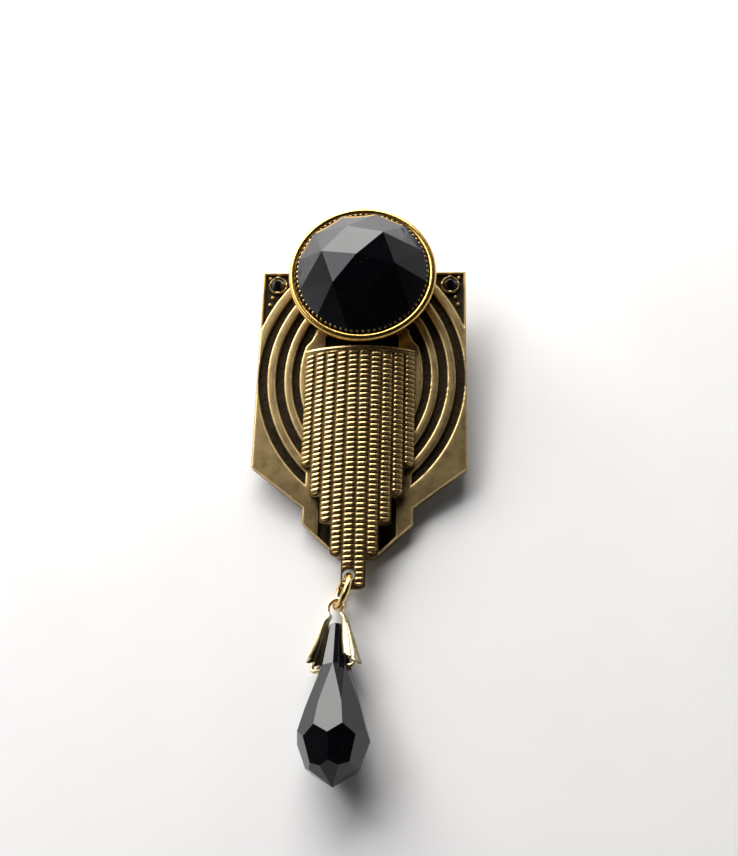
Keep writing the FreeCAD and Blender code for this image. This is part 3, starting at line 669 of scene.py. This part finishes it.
def fringe_panel():
    """A net in steps of a twelfth of a column, with the cells past each column's end left out.

    Each step's outer corner is rounded by lifting its last rows by the fourth power of the way
    across, and the points round the tail's eye are drawn out to its circle.
    """
    x = np.concatenate([[-PANEL_HALF], np.arange(-58, 59) * COLUMN / 12, [PANEL_HALF]])
    knots = [tip - FLANGE for tip in TIPS] + [PANEL_TOP]
    y = np.concatenate([
        np.linspace(low, high, int(round((high - low) / 0.076)), endpoint=False)
        for low, high in zip(knots[:-1], knots[1:])
    ] + [[PANEL_TOP]])
    x, y = np.meshgrid(x, y)
    far = np.abs(x)
    lift = np.zeros(x.shape)
    for number, tip in enumerate(TIPS):
        across = (far - COLUMN * number) / COLUMN
        rounded = 0.42 * np.clip(across, 0, 1) ** 4
        fade = 1 - smooth_step((y - tip + FLANGE) / 1.0)
        in_step = (across >= 0) & (across <= 1.001) & (y >= tip - FLANGE - 0.001)
        lift += np.where(in_step, rounded * fade, 0)
    middle_x = (x[:-1, :-1] + x[1:, 1:]) / 2
    middle_y = (y[:-1, :-1] + y[1:, 1:]) / 2
    column = np.clip((np.abs(middle_x) / COLUMN).astype(int), 0, 4)
    kept = middle_y > np.array(TIPS)[column] - FLANGE
    kept &= np.hypot(middle_x - EYE_AT[0], middle_y - EYE_AT[1]) > EYE_ROUND
    y = y + lift
    reach_x, reach_y = x - EYE_AT[0], y - EYE_AT[1]
    reach = np.hypot(reach_x, reach_y)
    around = np.zeros(x.shape, bool)
    for down in (0, 1):
        for along in (0, 1):
            cut = np.hypot(middle_x - EYE_AT[0], middle_y - EYE_AT[1]) <= EYE_ROUND
            around[down:down + cut.shape[0], along:along + cut.shape[1]] |= cut
    around &= reach > EYE_ROUND - 0.11
    x = np.where(around, EYE_AT[0] + EYE_ROUND * reach_x / np.maximum(reach, 0.01), x)
    y = np.where(around, EYE_AT[1] + EYE_ROUND * reach_y / np.maximum(reach, 0.01), y)
    z, recess, worn = fringe_height(x, y)
    under = np.maximum(panel_arch(x) - PANEL_THICK, 0.01)
    rows, columns = x.shape
    count = rows * columns
    down, along = np.nonzero(kept)
    corner = down * columns + along
    top_faces = np.stack([corner, corner + 1, corner + columns + 1, corner + columns], axis=-1)
    faces = [top_faces, top_faces[:, ::-1] + count]
    framed = np.pad(kept, 1)
    sides = (
        (framed[1:-1, :-2], corner, corner + columns),
        (framed[1:-1, 2:], corner + 1, corner + columns + 1),
        (framed[:-2, 1:-1], corner, corner + 1),
        (framed[2:, 1:-1], corner + columns, corner + columns + 1),
    )
    for neighbour, start, end in sides:
        bare = ~neighbour[down, along]
        start, end = start[bare], end[bare]
        faces.append(np.stack([start, end, end + count, start + count], axis=-1))
    faces = np.concatenate(faces)
    points = np.concatenate([
        np.stack([x, y, z], axis=-1).reshape(-1, 3),
        np.stack([x, y, under], axis=-1).reshape(-1, 3),
    ])
    used, faces = np.unique(faces, return_inverse=True)
    below = np.zeros(count)
    marks = {
        # The underside is marked 0.35 towards the dark colour: painted shade under the arched panel.
        "recess": np.concatenate([recess.ravel(), below + 0.35])[used],
        "worn": np.concatenate([worn.ravel(), below])[used],
    }
    place = on_plate.moved(PANEL_X, 0, 0)
    piece = make_piece("ribbed_fringe", place(points[used]), faces.reshape(-1, 4).tolist(),
                       "brooch_body", ["fringe_panel"], stamped_brass, marks=marks)
    piece.data.set_sharp_from_angle(angle=math.radians(65))


fringe_panel()


# ---- pendant ----------------------------------------------------------------------------

RING_MIDDLE = 2.05
RING_WIRE = 0.41
CUT_HALF = 1.1
CUT_AT = 205


def jump_ring():
    """Round wire bent into a circle, with a fine cut where it is opened."""
    normal = joint_place("ring_swing")[1]
    side = np.cross(normal, plate_up)
    side /= np.linalg.norm(side)
    place = Place(middle_of("jump_ring"), np.column_stack([side, np.cross(normal, side), normal]))
    around = np.linspace(CUT_AT + CUT_HALF, CUT_AT + 360 - CUT_HALF, 120)
    path = ring_points(RING_MIDDLE, 0.0, around)
    points, faces = tube_along(path, RING_WIRE, 24, place)
    piece = make_piece("opened_jump_ring", points, faces, "ring", ["jump_ring"],
                       ring_gold)
    piece.data.set_sharp_from_angle(angle=math.radians(50))


LOOP_ROUND = 1.16
LOOP_RISE = 7.5
BAIL_THICK = 0.20
LOOP_HALF = 0.30
LEAF_HALF = 2.05
LEAF_END = 0.7
LEAF_NECK = 6.9
PINCH = 0.42
PINCH_AT = 6.6
SPREAD = {1: 2.74, -1: 3.4}
END_LIFT = {1: 0.0, -1: 0.35}
FLUTES = 3.5
PRONG_ROUND = 0.26


def bail_strip():
    """A strip carried up one leg, over the loop and down the other, widening down each leg.

    Its middle line is a half circle and two legs. The legs flare by a power of the way down, less
    a bell curve that pinches them under the loop. The half width grows in a straight line from
    the neck down. The leaf is fluted: a cosine across it whose depth grows downwards, and its end
    is scalloped by the same wave.
    """
    across = np.linspace(-1, 1, 57)[None, :]
    leg = np.linspace(0, 1, 60)[:, None]
    wave = np.cos(FLUTES * np.pi * across)
    sheets = []
    for side in (1, -1):
        end = LEAF_END + END_LIFT[side] - 0.22 * wave + 0.30 * across ** 2 - 0.25
        height = end + (LOOP_RISE - end) * leg
        fall = (LOOP_RISE - height) / (LOOP_RISE + 0.45)
        reach = LOOP_ROUND + (SPREAD[side] - LOOP_ROUND) * np.clip(fall, 0, None) ** 1.35
        reach = reach - PINCH * np.exp(-((height - PINCH_AT) / 0.45) ** 2)
        sheets.append((side * reach, height))
    arc = np.radians(np.linspace(0, 180, 30)[1:-1])[:, None] + 0 * across
    spread = np.concatenate([sheets[0][0], LOOP_ROUND * np.cos(arc), sheets[1][0][::-1]])
    over_loop = LOOP_RISE + LOOP_ROUND * np.sin(arc)
    height = np.concatenate([sheets[0][1], over_loop, sheets[1][1][::-1]])
    grown = np.clip((LEAF_NECK - height) / (LEAF_NECK - LEAF_END), 0, 1.1)
    half = LOOP_HALF + (LEAF_HALF - LOOP_HALF) * grown
    depth = 0.30 * smooth_step(grown * 1.4)
    outward = np.stack([np.gradient(height, axis=0), -np.gradient(spread, axis=0)])
    outward /= np.linalg.norm(outward, axis=0)
    spread = spread + outward[0] * depth * (wave - 0.2)
    height = height + outward[1] * depth * (wave - 0.2)
    width = half * across
    skins = []
    for shift in (BAIL_THICK / 2, -BAIL_THICK / 2):
        skin = [spread + shift * outward[0], width, height + shift * outward[1]]
        skins.append(np.stack(skin, axis=-1))
    rows, columns = spread.shape
    count = rows * columns
    faces = np.array(net_faces(rows, columns))
    row = np.arange(rows - 1) * columns
    along = np.arange(columns - 1)
    last = (rows - 1) * columns
    rims = ((row, row + columns), (row + columns - 1, row + 2 * columns - 1),
            (along, along + 1), (last + along, last + along + 1))
    walls = [np.stack([start, end, end + count, start + count], axis=-1) for start, end in rims]
    faces = np.concatenate([faces, faces[:, ::-1] + count, *walls]).tolist()
    edges = smooth_step((np.abs(across) - 0.93) / 0.07)
    rubbed = np.maximum(edges, 0.75 * (1 - smooth_step(grown * 6)))
    outer_dark = 0.18 * smooth_step(-wave) * grown
    marks = {
        # The inner skin of the leaves is marked up to 0.72 towards the dark colour: painted shade
        # between the leaves and the drop.
        "recess": np.concatenate([outer_dark.ravel(), (0.72 * smooth_step(grown * 3)).ravel()]),
        "worn": np.concatenate([rubbed.ravel(), 0.5 * rubbed.ravel()]),
    }
    return np.concatenate(skins).reshape(-1, 3), faces, marks


def prong(side):
    """A round tongue from inside the leaf's end, bent in a quarter circle to lie along the pin."""
    reach = SPREAD[side] - 0.22
    bend = np.radians(np.linspace(0, 90, 14))
    turn_round = 0.42
    down = np.linspace(0.95, turn_round + 0.05, 4)
    inward = np.linspace(reach - turn_round - 0.1, 0.55, 8)
    path = np.concatenate([
        np.stack([0 * down + reach, 0 * down, down], axis=-1),
        np.stack([reach - turn_round * (1 - np.cos(bend)), 0 * bend,
                  turn_round * (1 - np.sin(bend))], axis=-1),
        np.stack([inward, 0 * inward, 0 * inward], axis=-1),
    ])
    path[:, 0] *= side
    return tube_along(path, PRONG_ROUND, 16, lambda points: points.reshape(-1, 3))


def pinch_bail():
    points, faces, marks = bail_strip()
    for side in (1, -1):
        more, more_faces = prong(side)
        faces += [[corner + len(points) for corner in face] for face in more_faces]
        points = np.concatenate([points, more])
        marks["recess"] = np.concatenate([marks["recess"], np.zeros(len(more))])
        marks["worn"] = np.concatenate([marks["worn"], np.full(len(more), 0.8)])
    piece = make_piece("fluted_bail", on_bail(points), faces, "bail", ["pinch_bail"],
                       pale_brass, marks=marks)
    piece.data.set_sharp_from_angle(angle=math.radians(50))


DROP_TOP = 5.55
DROP_LONG = 19.1
HALF_STEP = math.cos(math.radians(22.5))
TOP_ROUND = 0.84
TOP_CUT = 0.3
KITE_HEAD = (5.6, 1.85)
KITE_SIDE = 10.7
BELLY = (14.3, 4.15)
TAPER_END = (17.0, 3.10)
CROSS_HOLE = 0.36
KITE_TURN = 10.0


def drop_rings():
    """Depth below the top, radius, and turn of each ring of eight corners.

    Each kind of facet is a plane whose distance from the axis is a straight line in the depth.
    A corner half a step to the side of a plane's own direction lies farther out than the plane,
    by one over the cosine of the half step. Where two kinds meet, the two lines are equal.
    """
    kite = (BELLY[1] - KITE_HEAD[1]) / (BELLY[0] - KITE_HEAD[0])
    lower = (TAPER_END[1] - BELLY[1]) * HALF_STEP / (TAPER_END[0] - BELLY[0])
    point = -TAPER_END[1] / (DROP_LONG - TAPER_END[0])

    def on_kite(deep):
        return BELLY[1] + kite * (deep - BELLY[0])

    def on_lower(deep):
        return BELLY[1] * HALF_STEP + lower * (deep - BELLY[0])

    def on_point(deep):
        return TAPER_END[1] + point * (deep - TAPER_END[0])

    shoulder = (on_lower(0) * HALF_STEP - on_kite(0)) / (kite - lower * HALF_STEP)
    hip = (on_point(0) - on_lower(0) * HALF_STEP) / (lower * HALF_STEP - point)
    return (
        (TOP_CUT, TOP_ROUND, 0.0),
        (*KITE_HEAD, 0.0),
        (KITE_SIDE, on_kite(KITE_SIDE) / HALF_STEP, 22.5),
        (shoulder, on_lower(shoulder), 22.5),
        (*BELLY, 0.0),
        (*TAPER_END, 0.0),
        (hip, on_lower(hip), 22.5),
    )


def pendant_drop():
    """An eight-fold drop: neck, kite, lower and point facets between seven rings of corners."""
    to_camera = on_drop.axes.T @ (camera_at - on_drop.origin)
    facing = math.degrees(math.atan2(to_camera[1], to_camera[0])) - KITE_TURN
    rings = [
        ring_points(radius, DROP_TOP - deep, facing + shift + 45 * np.arange(8))
        for deep, radius, shift in drop_rings()
    ]
    points = np.concatenate(rings + [[[0, 0, DROP_TOP - DROP_LONG]]])
    top, head, side, shoulder, belly, taper, hip = (8 * number for number in range(7))
    tip = 56
    faces = [list(range(8))]
    for here in range(8):
        after = (here + 1) % 8
        before = (here - 1) % 8
        faces += [
            [top + here, top + after, head + after, head + here],
            [head + here, head + after, side + here],
            [head + here, side + here, shoulder + here, belly + here, shoulder + before,
             side + before],
            [shoulder + here, belly + after, taper + after, hip + here, taper + here, belly + here],
            [taper + here, hip + here, tip, hip + before],
        ]
    piece = make_piece("faceted_drop", on_drop(points), faces, "drop", ["pendant_drop"],
                       glass, smooth=False)
    drill_ends = [(CROSS_HOLE, -4.0), (CROSS_HOLE, 4.0)]
    drill_points, drill_faces = turned_solid(drill_ends, 32, on_drop.turned("y", 90))
    drill_mesh = bpy.data.meshes.new("drill")
    drill_mesh.from_pydata(drill_points.tolist(), [], drill_faces)
    drill = bpy.data.objects.new("drill", drill_mesh)
    bpy.context.scene.collection.objects.link(drill)
    bore = piece.modifiers.new("cross_hole", "BOOLEAN")
    bore.operation = "DIFFERENCE"
    bore.solver = "EXACT"
    bore.object = drill
    bpy.context.view_layer.update()
    bored = piece.evaluated_get(bpy.context.evaluated_depsgraph_get())
    piece.data = bpy.data.meshes.new_from_object(bored)
    piece.modifiers.clear()
    bpy.data.objects.remove(drill)
    bevelled(piece, 0.03, segments=1, angle=10)


jump_ring()
pinch_bail()
pendant_drop()


# ---- back fittings ----------------------------------------------------------------------

def headed_rivet(name, node, place, low, high, shank, head):
    """A straight shank with a domed head at its low end: a quarter ellipse turned about Z."""
    bend = np.radians(np.linspace(4, 90, 12))
    dome = np.stack([head * np.sin(bend), low - 0.42 * np.cos(bend)], axis=-1)
    profile = np.concatenate([dome, [[head, low], [shank, low], [shank, high]]])
    points, faces = turned_solid(profile, 48, place)
    piece = make_piece(name, points, faces, "brooch_body", [node], raw_brass)
    piece.data.set_sharp_from_angle(angle=math.radians(40))


headed_rivet("setting_rivet", "cup_rivet", on_setting, PLATE_BACK, 0.8, 0.78, 1.4)
for word, rivet_y in (("upper", -2.0), ("lower", -15.0)):
    headed_rivet(f"fringe_rivet_{word}", f"panel_rivet_{word}", on_plate.moved(PANEL_X, rivet_y, 0),
                 PLATE_BACK, 1.28, 0.6, 1.1)


def softened(name, node, body, finish, width):
    """A copy of a CAD node with its loose triangles merged, and its sharp edges rounded."""
    work = bmesh.new()
    work.from_mesh(NODES[node].data)
    bmesh.ops.remove_doubles(work, verts=work.verts, dist=1e-6)
    bmesh.ops.dissolve_limit(work, angle_limit=math.radians(1), verts=work.verts, edges=work.edges)
    mesh = bpy.data.meshes.new(name)
    work.to_mesh(mesh)
    work.free()
    mesh.polygons.foreach_set("use_smooth", np.full(len(mesh.polygons), True))
    mesh.set_sharp_from_angle(angle=math.radians(30))
    mesh.materials.append(finish)
    piece = bpy.data.objects.new(name, mesh)
    bpy.context.scene.collection.objects.link(piece)
    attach(piece, body)
    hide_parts(node)
    bevelled(piece, width, angle=35)


softened("soldered_pin_bar", "pin_bar", "brooch_body", raw_brass, 0.07)
softened("safety_catch", "catch_body", "brooch_body", raw_brass, 0.05)
softened("turning_lock", "catch_lock", "lock", raw_brass, 0.05)
softened("hinge_pin", "hinge_rivet", "brooch_body", raw_brass, 0.04)
softened("sprung_stem", "pin_stem", "stem", pin_steel, 0.02)


# ---- floor, light and camera ------------------------------------------------------------

def floor():
    """A plain pale table top, with a faint cloth-like unevenness."""
    finish = Finish("pale_table")
    clouds = finish.spread(finish.noise(30, 3.0), 0.3, 0.7)
    shade = finish.blend(clouds, (0.90, 0.895, 0.90), (0.94, 0.935, 0.935))
    finish.join(shade, finish.shader.inputs["Base Color"])
    finish.shader.inputs["Roughness"].default_value = 0.9
    finish.shader.inputs["Specular IOR Level"].default_value = 0.2
    finish.bump(finish.noise(0.5, 2.0), 0.03, 0.4)
    half = 1.5
    mesh = bpy.data.meshes.new("table")
    corners = [(-half, -half, 0), (half, -half, 0), (half, half, 0), (-half, half, 0)]
    mesh.from_pydata(corners, [], [(0, 1, 2, 3)])
    mesh.materials.append(finish.material)
    table = bpy.data.objects.new("table", mesh)
    bpy.context.scene.collection.objects.link(table)


def soft_light(name, azimuth, elevation, distance, wide, tall, watts, colour):
    """An oblong lamp that faces the brooch, azimuth from the brooch's top towards its right."""
    lamp = bpy.data.lights.new(name, "AREA")
    lamp.shape = "RECTANGLE"
    lamp.size = wide
    lamp.size_y = tall
    lamp.energy = watts
    lamp.color = colour
    bearing, rise = math.radians(azimuth), math.radians(elevation)
    level = math.cos(rise)
    away = Vector((math.sin(bearing) * level, math.cos(bearing) * level, math.sin(rise)))
    placed = bpy.data.objects.new(name, lamp)
    placed.location = away * distance
    placed.rotation_mode = "QUATERNION"
    placed.rotation_quaternion = away.to_track_quat("Z", "Y")
    bpy.context.scene.collection.objects.link(placed)


BRIGHTNESS_BY_HEIGHT = ((0.0, 2.1), (0.24, 0.72), (0.44, 0.07), (0.8, 0.015))
BRIGHT_SIDE = (-0.50, 0.87, 0.0)


def surroundings():
    """Soft light, brightest at the horizon behind and to the left, and dim overhead."""
    world = bpy.data.worlds.new("studio")
    world.use_nodes = True
    nodes, links = world.node_tree.nodes, world.node_tree.links
    facing = nodes.new("ShaderNodeTexCoord")
    parts = nodes.new("ShaderNodeSeparateXYZ")
    ramp = nodes.new("ShaderNodeValToRGB")
    links.new(facing.outputs["Generated"], parts.inputs["Vector"])
    links.new(parts.outputs["Z"], ramp.inputs["Fac"])
    links.new(ramp.outputs["Color"], nodes["Background"].inputs["Color"])
    for number, (height, brightness) in enumerate(BRIGHTNESS_BY_HEIGHT):
        if number < 2:
            step = ramp.color_ramp.elements[number]
            step.position = height
        else:
            step = ramp.color_ramp.elements.new(height)
        step.color = (brightness, brightness, brightness * 1.03, 1)
    side = nodes.new("ShaderNodeVectorMath")
    side.operation = "DOT_PRODUCT"
    side.inputs[1].default_value = BRIGHT_SIDE
    links.new(facing.outputs["Generated"], side.inputs[0])
    fall = nodes.new("ShaderNodeMapRange")
    spread = {"From Min": -0.35, "From Max": 0.55, "To Min": 0.26, "To Max": 1.0}
    for socket, amount in spread.items():
        fall.inputs[socket].default_value = amount
    links.new(side.outputs["Value"], fall.inputs["Value"])
    links.new(fall.outputs["Result"], nodes["Background"].inputs["Strength"])
    bpy.context.scene.world = world


CAMERA_LENS = 40.3
CAMERA_SENSOR = 36.0


def camera():
    """The camera, looking down from below the brooch's foot."""
    ahead = plate_axes @ np.array(CAMERA_AHEAD)
    up = plate_axes @ np.array(CAMERA_UP)
    ahead /= np.linalg.norm(ahead)
    right = np.cross(ahead, up)
    right /= np.linalg.norm(right)
    up = np.cross(right, ahead)
    data = bpy.data.cameras.new("camera")
    data.sensor_width = CAMERA_SENSOR
    data.lens = CAMERA_LENS
    data.clip_start = 0.001
    data.clip_end = 10.0
    placed = bpy.data.objects.new("camera", data)
    placed.matrix_world = Matrix.Translation(camera_at) @ Matrix(
        np.column_stack([right, up, -ahead]).tolist()).to_4x4()
    bpy.context.scene.collection.objects.link(placed)
    bpy.context.scene.camera = placed


floor()
soft_light("window", -24, 32, 0.42, 0.54, 0.32, 4.0, (1.0, 0.985, 0.96))
soft_light("side_fill", -75, 48, 0.40, 0.16, 0.16, 0.24, (0.95, 0.97, 1.0))
surroundings()
camera()
bpy.context.scene.view_settings.view_transform = "Standard"
